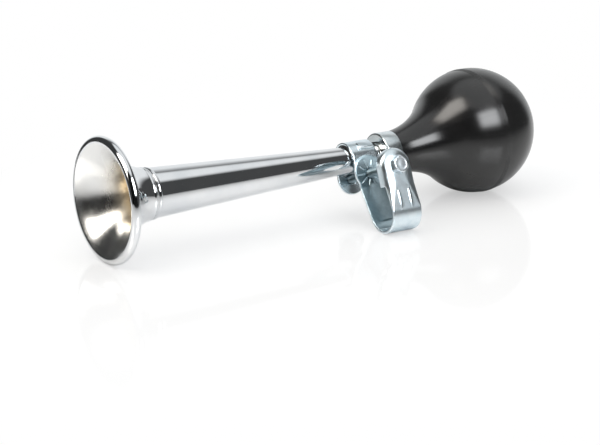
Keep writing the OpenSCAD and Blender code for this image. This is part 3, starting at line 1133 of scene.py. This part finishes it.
@dataclass
class Bracket:
    """The clip on the tube, the dark liner strip under it that stands for the shade in that gap, the
    handlebar strap and the bolt with its nut and washer.

    Sizes are in the bracket's own directions: b toward the viewer along the bolt, c down from the tube's
    middle. The sheets are built from overlapping solids, which lap by a little, and are then pressed. The
    rows of the bolt's head are depths under its top with radii, which the crown counts from the corners,
    the rim from the flats and the dish from the axis.
    """

    bolt_u: float = 126.8
    sheet: float = 1.2
    lap: float = 0.2
    voxel: float = 0.2
    rounds: int = 20
    run_gap: float = 0.06
    clip_w: float = 12.8
    clip_in: float = 6.816
    leg_stop: float = 0.6
    ear_r: float = 6.9
    cheek_tall: float = 3.4
    cheek_rise: float = 1.9
    shoulder_lean: float = 36.0
    shoulder_tilt: float = 12.0
    shoulder_size: Triple = (7.4, 1.8, 3.8)
    shoulder_u: float = 1.8
    shoulder_edge: float = 0.45
    liner_t: float = 0.75
    liner_edge: float = 0.15
    fit_gap: float = 0.01
    bolt_c: float = 8.135
    hole_r: float = 2.1
    leg_span: float = 22.6
    loop_drop: float = 19.0
    bar_r: float = 8.0
    strap_w: float = 15.0
    pad_r: float = 7.7
    pad_rise: float = 0.8
    pad_lap: Pair = (1.0, 4.0)
    head_r: float = 7.9
    flange_depth: float = 4.4
    flange_drop: float = 8.5
    bend_w: float = 5.0
    bend_t: float = 3.0
    bend_steps: Pair = (1.4, 3.2)
    bend_end: float = 0.6
    leg_lap: Pair = (0.9, 0.1)
    hole_cut: float = 6.0
    overrun: float = 1.0
    rib_drop: float = 10.0
    rib_x: float = 2.7
    rib_half: Pair = (1.2, 0.6)
    rib_sink: float = 0.1
    rib_share: Pair = (0.5, 0.45)
    crown_r: float = 32.0
    crown_rise: float = 0.3
    foot_drop: float = 5.5
    foot_half: float = 6.4
    foot_gap: float = 0.04
    foot_start: float = 0.4
    far_over: float = 0.5
    rays: int = 10
    ray_half: Triple = (2.3, 0.55, 0.42)
    ray_x: float = 4.3
    hex_af: float = 7.0
    head_t: float = 2.8
    head_crown: tuple[Pair, ...] = ((0.55, 0.4), (0.42, -0.12))
    head_rim: tuple[Pair, ...] = ((0.06, -0.05), (0.0, -0.25))
    head_dish: tuple[Pair, ...] = ((0.0, 2.8), (0.14, 2.6), (0.16, 2.4), (0.08, 1.2), (0.06, 0.0))
    bolt_len: float = 45.0
    tip_r: float = 1.35
    tip_len: float = 0.45
    core_r: float = 1.68
    core_in: float = 0.3
    thread_stop: float = 0.5
    thread_r: Pair = (1.62, 1.99)
    thread_crest: Pair = (0.42, 0.58)
    pitch: float = 0.7
    washer_r: float = 4.5
    washer_t: float = 0.8
    washer_edge: float = 0.15
    nut_t: float = 3.2
    nut_chamfer: Pair = (0.45, 0.3)
    nut_sink: Pair = (0.3, 0.25)
    nut_gap: float = 0.04
    crease: float = 32.0

    @property
    def clip_mid(self) -> float:
        """Returns the middle radius of the clip's sheet."""
        return self.clip_in + self.sheet / 2

    @property
    def far_b(self) -> float:
        """Returns the distance b of the strap's far leg's outer face, just clear of the clip's ear."""
        return self.clip_in + self.sheet + self.run_gap

    @property
    def near_b(self) -> float:
        """Returns the distance b of the strap's near leg's inner face."""
        return self.far_b + self.leg_span

    @property
    def loop_centre(self) -> Pair:
        """Returns the bar's middle as b and c."""
        return self.near_b - self.bar_r, self.bolt_c + self.loop_drop

    @property
    def hex_corner(self) -> float:
        """Returns the hexagons' radius to their corners."""
        return self.hex_af / 2 / math.cos(math.radians(30.0))

    def ring(self, name: str, radii: Pair, b0: float, b1: float, drop: float = 0.0) -> bpy.types.Object:
        """Returns a flat ring between two radii and two distances b, round the bolt or below it."""
        middle_c, (r0, r1) = self.bolt_c + drop, radii
        return Bench.band(name, (r1 - r0, b1 - b0), ((r0 + r1) / 2, (b0 + b1) / 2, middle_c),
                          (0.0, 0.0, middle_c), Along.Y_OVER, FULL_TURN, steps=72)

    def half_ring(self, name: str, thick: float, radius: float) -> bpy.types.Object:
        """Returns half a ring over the tube, as wide as the clip, round a middle radius."""
        return Bench.band(name, (self.clip_w, thick), (0.0, radius, 0.0), ORIGIN, Along.X_UP, HALF_TURN,
                          steps=64)

    def clip_parts(self) -> list[bpy.types.Object]:
        """Makes the solids of the clip's sheet.

        Returns:
            Its saddle, legs and ears, and the cheeks that square the ears off.
        """
        mid, half = self.clip_mid, self.sheet / 2
        low = self.bolt_c - self.hole_r - self.leg_stop
        parts = [self.half_ring("saddle", self.sheet, mid)]
        for side in BOTH_SIDES:
            b = side * mid
            parts.append(Bench.block("leg", (self.clip_w, self.sheet, low + self.lap),
                                     (0.0, b, (low - self.lap) / 2)))
            parts.append(self.ring("ear", (self.hole_r, self.ear_r), b - half, b + half))
            parts += [Bench.block("cheek", (self.clip_w / 2 - self.hole_r, self.sheet, self.cheek_tall),
                                  (edge * (self.clip_w / 4 + self.hole_r / 2), b,
                                   self.bolt_c - self.cheek_rise))
                      for edge in BOTH_SIDES]
        return parts

    def shoulder_pad(self) -> bpy.types.Object:
        """Makes the raised pad on the clip's shoulder toward the viewer.

        Returns:
            A block with rounded edges.
        """
        lean = math.radians(self.shoulder_lean)
        out = self.clip_in + self.sheet
        pad = Bench.block("shoulder_pad", self.shoulder_size,
                          (self.shoulder_u, out * math.cos(lean), -out * math.sin(lean)),
                          -self.shoulder_lean - self.shoulder_tilt)
        Bench.modifier(pad, "BEVEL", width=self.shoulder_edge, segments=4)
        return pad

    def pan(self, name: str, inset: float, b0: float, b1: float, low: float) -> bpy.types.Object:
        """Makes a round-topped solid like the near leg's head, rounded along its front edge.

        Args:
            name: the new object's name.
            inset: how far it stays inside the leg's outline.
            b0: its rear.
            b1: its front.
            low: where its straight sides end.

        Returns:
            A closed solid.
        """
        bolt_c, bend = self.bolt_c, self.bend_w - inset
        squeeze = (self.bend_t - inset) / bend
        deep = (b1 - b0) / squeeze
        obj = Bench.rod(name, self.head_r - inset, deep, (0.0, b1 - deep / 2, bolt_c), LIE_ALONG_Y, sides=96)
        Bench.trim(obj, (0.0, 0.0, bolt_c), Z_WAY)
        with Bench.picking(obj, lambda p: abs(p.z - bolt_c) < 1e-3, Pick.FACE):
            bpy.ops.mesh.extrude_region_move(TRANSFORM_OT_translate={"value": (0.0, 0.0, low - bolt_c)})
            bpy.ops.mesh.select_all(action="SELECT")
            bpy.ops.mesh.dissolve_limited(angle_limit=0.01)
        with Bench.picking(obj, lambda p: abs(p.y - b1) < 1e-3 and p.z < low - 0.01, Pick.EDGE):
            bpy.ops.mesh.bevel(offset=bend, segments=12, affect="EDGES")
            bpy.ops.mesh.select_all(action="SELECT")
            bpy.ops.transform.resize(value=(1.0, squeeze, 1.0), center_override=(0.0, b1, 0.0))
        return obj

    def near_parts(self) -> list[bpy.types.Object]:
        """Makes the near leg.

        Returns:
            The pressed head with its edge turned in, and the leg that flattens toward the loop.
        """
        t, near, over = self.sheet, self.near_b, self.overrun
        front, half, loop_c = near + t, self.strap_w / 2, self.loop_centre[1]
        end, rear = self.bolt_c + self.flange_drop, near - self.flange_depth
        head = self.pan("near_head", 0.0, rear, front, end)
        Bench.combine(head, self.pan("head_hollow", t, rear - over, near, end + 2 * over), Cut.OUTSIDE)
        hole = Bench.rod("bolt_hole", self.hole_r, self.hole_cut, (0.0, near, self.bolt_c), LIE_ALONG_Y,
                         sides=48)
        Bench.combine(head, hole, Cut.OUTSIDE)
        top, low = end - self.leg_lap[0], loop_c + self.leg_lap[1]
        leg = Bench.block("lower_leg", (self.strap_w, 2 * t, low - top), (0.0, near, (low + top) / 2))
        core = Vector((0.0, near + t / 2, (loop_c + end) / 2))
        Bench.slice(leg, core, Vector((0.0, near - t, end)), Vector((0.0, near, loop_c)),
                    Vector((1.0, near, loop_c)))
        flat = self.head_r - self.bend_w
        steps = [(x, front - self.bend_t * (1.0 - math.sqrt(1.0 - ((x - flat) / self.bend_w) ** 2)))
                 for x in (*(flat + step for step in self.bend_steps), half)]
        for side in BOTH_SIDES:
            tip = Vector((side * half, front, loop_c + self.bend_end))
            for (x0, b0), (x1, b1) in zip(steps, steps[1:]):
                Bench.slice(leg, core, tip, Vector((side * x0, b0, end)), Vector((side * x1, b1, end)))
        return [head, leg]

    def ribs(self) -> list[bpy.types.Object]:
        """Makes two ribs on the near leg that run out toward the loop.

        Returns:
            The ribs, each a closed shell.
        """
        tall = self.loop_drop - self.rib_drop
        half_tall, up = (share * tall for share in self.rib_share)
        face = self.near_b + self.sheet - self.rib_sink
        return [Bench.pebble("leg_rib", (*self.rib_half, half_tall),
                             (side * self.rib_x, face, self.loop_centre[1] - up), segments=32, rings=24)
                for side in BOTH_SIDES]

    def far_leg(self, lean: float, length: float, foot_c: float) -> bpy.types.Object:
        """Makes the leaning leg behind the bar, slightly crowned and wider at the loop.

        Args:
            lean: its lean toward the viewer, in radians.
            length: its length down to the loop.
            foot_c: where it leaves the pad.

        Returns:
            A closed solid.
        """
        along = Vector((0.0, math.sin(lean), math.cos(lean)))
        inward = Vector((0.0, math.cos(lean), -math.sin(lean)))
        half = math.degrees(math.asin(self.foot_half / self.crown_r))
        section = (length + self.far_over, self.sheet)
        leg = Bench.join("far_leg", [
            Bench.band("far_leg", section, (0.0, self.crown_r, 0.0), ORIGIN, way, half, steps=16)
            for way in (Along.X_DOWN, Along.X_UP)])
        widen = self.strap_w / 2 / self.foot_half
        with Bench.picking(leg, lambda p: p.x > 0.0, Pick.VERTEX):
            bpy.ops.transform.resize(value=(1.0, 1.0, widen), center_override=ORIGIN)
        crown = self.sheet / 2 + self.crown_rise - self.crown_r
        rest = Vector((0.0, self.far_b, foot_c)) + along * length / 2 + inward * crown
        turn = Matrix((along, inward, along.cross(inward))).transposed().to_4x4()
        Bench.set_in(leg, Matrix.Translation(rest) @ turn)
        Bench.trim(leg, (0.0, self.far_b + self.foot_gap, foot_c), -Vector(Y_WAY))
        return leg

    def strap_parts(self) -> list[bpy.types.Object]:
        """Makes the solids of the strap's sheet.

        Returns:
            Its two legs, its loop, the pad round the bolt and the foot below the pad.
        """
        t, far = self.sheet, self.far_b
        loop_b, loop_c = self.loop_centre
        foot_c = self.bolt_c + self.foot_drop
        run, drop = loop_b - far, loop_c - foot_c
        outer = self.bar_r + t
        lean = math.atan2(run, drop) - math.asin(outer / math.hypot(run, drop))
        length = math.sqrt(run * run + drop * drop - outer * outer)
        foot_top = self.bolt_c + self.hole_r + self.foot_start
        lap_in, lap_out = self.pad_lap
        return [
            *self.near_parts(),
            Bench.band("loop", (self.strap_w, t), (0.0, loop_b + self.bar_r + t / 2, loop_c),
                       (0.0, loop_b, loop_c), Along.X_DOWN, HALF_TURN - math.degrees(lean), steps=72),
            self.far_leg(lean, length, foot_c),
            self.ring("pad_inner", (self.hole_r, self.pad_r - lap_in), far, far + t),
            self.ring("pad_outer", (lap_out, self.pad_r), far, far + t, -self.pad_rise),
            Bench.block("foot", (2 * self.foot_half, t, foot_c - foot_top + self.lap),
                        (0.0, far + t / 2, (foot_c + foot_top) / 2)),
        ]

    def rosette(self) -> bpy.types.Object:
        """Makes the pressed rays round the bolt on the far leg's pad.

        Returns:
            One ray and its copies, each a closed shell.
        """
        face, step = self.far_b + self.sheet, FULL_TURN / self.rays
        ray = Bench.pebble("rosette", self.ray_half, (self.ray_x, face, self.bolt_c), segments=20, rings=12)
        with Bench.editing(ray):
            bpy.ops.mesh.spin(steps=self.rays - 1, dupli=True, angle=math.radians(FULL_TURN - step),
                              center=(0.0, 0.0, self.bolt_c), axis=Y_WAY)
        return ray

    def hexagon(self, x0: float, x1: float) -> bpy.types.Object:
        """Returns a hexagonal bar along the bolt."""
        return Bench.rod("hex_bar", self.hex_corner, x1 - x0, ((x0 + x1) / 2, 0.0, 0.0), LIE_ALONG_X,
                         sides=6)

    def bolt_parts(self) -> list[bpy.types.Object]:
        """Makes the bolt along X.

        Returns:
            The dished head, and the core with its thread.
        """
        seat = self.near_b + self.sheet + self.run_gap
        top, tip = seat + self.head_t, self.near_b + self.sheet - self.bolt_len
        profile = [*((depth, self.hex_corner + r) for depth, r in self.head_crown),
                   *((depth, self.hex_af / 2 + r) for depth, r in self.head_rim), *self.head_dish]
        head = Bench.lathe("bolt_head", [(seat, 0.0), (seat, profile[0][1]),
                                         *((top - depth, r) for depth, r in profile)], steps=96, ring=False)
        Bench.combine(head, self.hexagon(seat - self.overrun, top + self.overrun), Cut.INSIDE)
        shank = seat + self.core_in
        core = Bench.lathe("bolt_core", [(tip, 0.0), (tip, self.tip_r), (tip + self.tip_len, self.core_r),
                                         (shank, self.core_r), (shank, 0.0)], steps=48, ring=False)
        start, (root, crest) = tip + self.thread_stop, self.thread_r
        turns = int((seat - start - self.thread_stop) / self.pitch)
        rise, fall = (start + self.pitch * share for share in self.thread_crest)
        thread = Bench.outline("bolt_thread", [(start, root), (rise, crest), (fall, crest),
                                               (start + self.pitch, root)])
        Bench.modifier(thread, "SCREW", axis="X", angle=math.tau, screw_offset=self.pitch, iterations=turns,
                       steps=32, render_steps=32, use_merge_vertices=True, merge_threshold=1e-4)
        return [head, Bench.join("bolt_shank", [core, thread])]

    def nut_part(self) -> bpy.types.Object:
        """Makes the nut along X.

        Returns:
            A hexagon with chamfered corners and a bore.
        """
        face = -(self.far_b + self.washer_t)
        rear = face - self.nut_t
        (slope, over), (deep, out) = self.nut_chamfer, self.nut_sink
        flat, wide, bore = self.hex_af / 2, self.hex_corner + over, self.hole_r - self.nut_gap
        nut = Bench.lathe("clamp_nut_hex", [
            (face, bore), (face, flat), (face - slope, wide), (rear + slope, wide), (rear, flat),
            (rear, self.hole_r + out), (rear + deep, bore)], steps=96)
        Bench.combine(nut, self.hexagon(rear - self.overrun, face + self.overrun), Cut.INSIDE)
        return nut

    def washer_part(self) -> bpy.types.Object:
        """Makes the washer along X.

        Returns:
            A flat ring with soft outer edges.
        """
        face, edge = -self.far_b, self.washer_edge
        rear, rim = face - self.washer_t, self.washer_r
        return Bench.lathe("nut_washer_ring", [
            (face, self.hole_r), (face, rim - edge), (face - edge, rim), (rear + edge, rim),
            (rear, rim - edge), (rear, self.hole_r)], steps=96)

    def liner_part(self) -> bpy.types.Object:
        """Makes the dark strip under the clip's saddle, whose colour is painted shade for the gap between
        clip and tube.

        Returns:
            A half ring with soft edges.
        """
        liner = self.half_ring("clip_liner_strip", self.liner_t - 2 * self.fit_gap,
                               self.clip_in - self.liner_t / 2 - self.fit_gap)
        Bench.modifier(liner, "BEVEL", width=self.liner_edge, segments=2, limit_method="ANGLE")
        return liner

    def inside_strap(self, face: bpy.types.MeshPolygon) -> bool:
        """Tells whether a face of the strap looks at the handlebar's side of its loop, where a darker zinc
        is painted on as shade.
        """
        middle = (self.near_b + self.far_b) / 2
        return abs(face.normal.y) > 0.6 and face.normal.y * (middle - face.center.y) > 0.0

    def build(self, lie: Lie) -> None:
        """Makes and dresses the bracket.

        Args:
            lie: where the horn lies.
        """
        clip = Bench.press("tube_clip_sheet", self.clip_parts(), self.voxel, self.rounds)
        clip = Bench.join("tube_clip_sheet", [clip, self.shoulder_pad()])
        clip_zinc = ZincPlate("clip_zinc", gloss=0.2).material()
        settle(clip, lie.bracket, Body.CLIP, "tube_clip", clip_zinc)
        # Painted shade: the liner's near-black finish stands in for the shadow between clip and tube.
        vinyl = PaintedShadeLiner().material()
        settle(self.liner_part(), lie.bracket, Body.CLIP, "clip_liner", vinyl, crease=35.0)

        zinc = ZincPlate().material()
        # Painted shade: faces inside the loop get a darker, rougher zinc that stands in for the shade
        # between the legs.
        dull = ZincPlate("zinc_inside_painted_shade", (0.48, 0.60, 0.65), (0.36, 0.47, 0.52), 0.34).material()
        strap = Bench.press("handlebar_strap_sheet", self.strap_parts(), self.voxel, self.rounds)
        strap = Bench.join("handlebar_strap_sheet", [strap, *self.ribs(), self.rosette()])
        Bench.paint(strap, (zinc, dull), self.inside_strap)
        settle(strap, lie.bracket, Body.STRAP, "handlebar_strap", zinc)

        bright = ZincPlate("bolt_zinc", (0.78, 0.83, 0.86), (0.68, 0.74, 0.78), 0.28).material()
        # Painted shade: the thread gets a dark zinc that stands in for the shadow on the shank between the
        # clip's ears.
        steel = ZincPlate("thread_painted_shade", (0.34, 0.43, 0.47), (0.22, 0.29, 0.32), 0.34).material()
        head, shank = self.bolt_parts()
        head.data.materials.append(bright)
        shank.data.materials.append(steel)
        bolt = Bench.join("clamp_bolt_hex", [head, shank])
        for piece, body, node in ((bolt, Body.BOLT, "clamp_bolt"), (self.nut_part(), Body.NUT, "clamp_nut"),
                                  (self.washer_part(), Body.NUT, "nut_washer")):
            settle(piece, lie.bolt, body, node, bright, self.crease)


@dataclass
class Reed:
    """The brass reed inside the bulb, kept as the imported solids."""

    nodes: tuple[str, ...] = ("reed_body", "reed_tongue", "reed_ring")

    def dress(self) -> None:
        """Gives the reed's solids their brass."""
        brass = ReedBrass().material()
        for name in self.nodes:
            obj = frame["nodes"][name]
            obj.data.materials.clear()
            obj.data.materials.append(brass)
            log.info("%s: packed solid in brass", name)


@dataclass(frozen=True)
class SoftBox:
    """A glowing panel that faces the ball and fades toward its edges.

    bearing: degrees from straight behind the horn, positive to the camera's right.
    height: degrees above the table.
    slant: how far its long side dips to the right, in degrees.
    fade: where the light starts and ends its fall, as shares of the panel's half sizes.
    """

    name: str
    bearing: float
    height: float
    distance: float
    size: Pair
    slant: float
    tint: Triple
    strength: float
    fade: Pair = (1.0, 0.6)

    def build(self, centre: Vector, right: Vector, ahead: Vector, share: float) -> None:
        """Hangs the panel.

        Args:
            centre: the point that it faces.
            right: the camera's level right.
            ahead: the camera's level forward direction.
            share: part of its light that falls on matt surfaces.
        """
        turn, rise, dip = (math.radians(angle) for angle in (self.bearing, self.height, self.slant))
        level = ahead * math.cos(turn) + right * math.sin(turn)
        way = level * math.cos(rise) + Vector((0.0, 0.0, math.sin(rise)))
        across = right * math.cos(turn) - ahead * math.sin(turn)
        over = way.cross(across)
        over = over if over.z > 0.0 else -over
        long = across * math.cos(dip) - over * math.sin(dip)
        wide = way.cross(long)
        panel = Bench.add(self.name, bpy.ops.mesh.primitive_plane_add, size=2.0)
        panel.matrix_world = (Matrix.Translation(centre + way * self.distance)
                              @ Matrix((long, wide, long.cross(wide))).transposed().to_4x4()
                              @ Matrix.Diagonal((self.size[0] / 2, self.size[1] / 2, 1.0, 1.0)))
        panel.visible_camera = False
        panel.data.materials.append(self.glow(share))

    def glow(self, share: float) -> bpy.types.Material:
        """Makes the panel's light.

        Args:
            share: part of its light that falls on matt surfaces.

        Returns:
            A material that glows less toward the panel's edges.
        """
        material, board = Board.for_material(self.name)
        place = board.place()
        soft = abs(place.along(X_WAY)).rise(*self.fade) * abs(place.along(Y_WAY)).rise(*self.fade)
        level = board.mirrored(share) * soft * self.strength
        board.finish(board.node("ShaderNodeEmission", {}, {"Color": colour(*self.tint), "Strength": level}))
        return material


@dataclass
class Studio:
    """The white table, the light round it and the camera.

    Places on the table are pairs of metres to the camera's right and ahead of it. A pair that is called a
    fade holds where a change starts and ends.
    """

    lens: float = 150.06
    sensor: float = 36.0
    aim: Triple = (-0.01261, 0.00495, 0.00126)
    distance: float = 1.10439
    azimuth: float = -32.963
    elevation: float = 16.745
    roll: float = -0.595
    table_edge: Pair = (-0.195, 0.01)
    table_turn: float = -27.0
    table_size: Pair = (0.9, 1.2)
    table_gloss: float = 0.05
    table_ior: float = 1.55
    wing_edge: Pair = (-0.238, 0.026)
    wing_turn: float = 48.0
    wing_size: float = 0.1
    wing_drop: float = 0.0004
    left_fade: Pair = (0.0, 0.06)
    right_fade: Pair = (0.19, 0.13)
    front_fade: Pair = (-0.28, -0.02)
    back_fade: Pair = (0.22, 0.07)
    shown_share: float = 0.5
    diffuse_share: float = 0.4
    fill_level: float = 2.5
    fill_spread: float = 110.0
    room_tint: Triple = (0.98, 1.0, 1.01)
    room_level: float = 0.07
    bright_level: float = 0.88
    ceiling_lean: float = 0.12
    ceiling_fade: Pair = (41.0, 31.0)
    backdrop_left_fade: Pair = (-40.0, -25.0)
    backdrop_right_fade: Pair = (55.0, 36.0)
    backdrop_top_fade: Pair = (58.0, 27.0)
    front_dark: float = 0.06
    front_dark_fade: Pair = (-0.45, -0.7)
    side_dark: float = 0.02
    side_dark_fade: Pair = (-0.5, -0.75)
    ball: Triple = (0.083, 0.007, 0.0285)
    left_box: SoftBox = SoftBox("left_box", -121.0, 44.0, 2.2, (2.6, 1.3), 62.0, (1.0, 0.96, 0.90), 6.5)
    right_box: SoftBox = SoftBox("right_box", 144.5, 33.0, 3.0, (2.55, 1.8), 0.0, (0.96, 0.98, 1.0), 9.5)

    @property
    def right(self) -> Vector:
        """Returns the camera's level right direction."""
        return Vector((math.cos(math.radians(self.azimuth)), math.sin(math.radians(self.azimuth)), 0.0))

    @property
    def ahead(self) -> Vector:
        """Returns the level direction from the camera to the horn."""
        return Vector((-math.sin(math.radians(self.azimuth)), math.cos(math.radians(self.azimuth)), 0.0))

    def on_table(self, spot: Pair) -> Vector:
        """Returns the point of a pair of distances to the right and ahead."""
        return self.right * spot[0] + self.ahead * spot[1]

    def camera(self) -> None:
        """Sets the photograph's camera."""
        level, tip = self.right, math.radians(self.elevation)
        back = -self.ahead * math.cos(tip) + Vector((0.0, 0.0, math.sin(tip)))
        up = back.cross(level)
        lean = math.radians(self.roll)
        right = level * math.cos(lean) + up * math.sin(lean)
        top = up * math.cos(lean) - level * math.sin(lean)
        turn = Matrix((right, top, back)).transposed()
        view = Bench.add("photo_camera", bpy.ops.object.camera_add, rotation=turn.to_euler(),
                         location=Vector(self.aim) + back * self.distance)
        view.data.lens = self.lens
        view.data.sensor_fit = "HORIZONTAL"
        view.data.sensor_width = self.sensor
        view.data.clip_end = 50.0
        bpy.context.scene.camera = view

    def table(self) -> None:
        """Lays the table's top and the leaf at its left."""
        turn, bend = (math.radians(self.azimuth + angle) for angle in (self.table_turn, self.wing_turn))
        side, wing_way = (Vector((math.cos(angle), math.sin(angle), 0.0)) for angle in (turn, bend))
        top = Bench.sized("white_table", bpy.ops.mesh.primitive_plane_add, (*self.table_size, 1.0), size=1.0,
                          location=self.on_table(self.table_edge) + side * self.table_size[0] / 2,
                          rotation=(0.0, 0.0, turn))
        wing = self.on_table(self.wing_edge) + wing_way * self.wing_size / 2
        leaf = Bench.sized("table_leaf", bpy.ops.mesh.primitive_plane_add, (1.0, 1.0, 1.0),
                           size=self.wing_size, location=(wing.x, wing.y, -self.wing_drop),
                           rotation=(0.0, 0.0, bend))
        floor = Bench.join("white_table", [top, leaf])
        floor.data.materials.append(self.table_finish(side))

    def table_finish(self, side: Vector) -> bpy.types.Material:
        """Makes the glossy white of the table; away from the horn it is plain white to the camera.

        Args:
            side: the direction from the table's left edge over its top.

        Returns:
            The table's material.
        """
        material, board = Board.for_material("white_table")
        place = board.place()
        across, onward = place.along(self.right), place.along(self.ahead)
        inner = place.along(side) - self.on_table(self.table_edge).dot(side)
        near = (inner.rise(*self.left_fade) * across.rise(*self.right_fade)
                * onward.rise(*self.front_fade) * onward.rise(*self.back_fade))
        gloss = board.principled(Base_Color=colour(0.95, 0.95, 0.95), Roughness=self.table_gloss,
                                 IOR=self.table_ior)
        white = board.node("ShaderNodeEmission", {}, {"Color": colour(1.0, 1.0, 1.0), "Strength": 1.0})
        plain = board.ray("Is Camera Ray") * (1.0 - self.shown_share * near)
        board.finish(board.node("ShaderNodeMixShader", {}, {0: plain, 1: gloss, 2: white}))
        return material

    def world(self) -> None:
        """Lights the horn with a bright ceiling and a pale backdrop in a dim room."""
        world = bpy.data.worlds.new("studio")
        world.use_nodes = True
        bpy.context.scene.world = world
        board = Board(world.node_tree)
        way = board.node("ShaderNodeTexCoord", {}, {}, "Generated")
        side, front = way.along(self.right), way.along(self.ahead)
        bearing = side.math("ARCTAN2", front) * math.degrees(1.0)
        height = way.along(Z_WAY).math("ARCSINE") * math.degrees(1.0)
        overhead = (self.right * self.ceiling_lean + Vector(Z_WAY)).normalized()
        ceiling = way.along(overhead).rise(*(math.cos(math.radians(edge)) for edge in self.ceiling_fade))
        backdrop = (bearing.rise(*self.backdrop_left_fade) * bearing.rise(*self.backdrop_right_fade)
                    * height.rise(*self.backdrop_top_fade))
        dim = (self.room_level - self.front_dark * front.rise(*self.front_dark_fade)
               - self.side_dark * side.rise(*self.side_dark_fade))
        level = board.mirrored(self.diffuse_share) * (dim + self.bright_level * ceiling.most(backdrop))
        room = board.node("ShaderNodeBackground", {}, {"Color": colour(*self.room_tint), "Strength": level})
        white = board.node("ShaderNodeBackground", {}, {"Color": colour(1.0, 1.0, 1.0), "Strength": 1.0})
        mixed = board.node("ShaderNodeMixShader", {}, {0: board.ray("Is Camera Ray"), 1: room, 2: white})
        board.finish(mixed, "ShaderNodeOutputWorld")

    def fill(self) -> None:
        """Hangs a broad lamp overhead that only matt surfaces see."""
        lamp = Bench.add("overhead_fill", bpy.ops.object.light_add, type="SUN", location=Z_WAY)
        lamp.data.energy = self.fill_level
        lamp.data.angle = math.radians(self.fill_spread)
        lamp.visible_glossy = False

    def build(self) -> None:
        """Sets the camera, the table, the light and plain colours."""
        self.camera()
        self.table()
        self.world()
        self.fill()
        for box in (self.left_box, self.right_box):
            box.build(Vector(self.ball), self.right, self.ahead, self.diffuse_share)
        bpy.context.scene.view_settings.view_transform = "Standard"


def main() -> None:
    """Builds every sub-assembly in order."""
    logging.basicConfig(level=logging.INFO, format="%(name)s: %(message)s")
    bracket, tail = Bracket(), TailAndBulb()
    lie = Lie.from_joints(frame["joints"], bracket.bolt_u, tail.bend_u)
    SoundTube().build(lie)
    tail.build(lie)
    bracket.build(lie)
    Reed().dress()
    Studio().build()


if __name__ == "__main__":
    main()
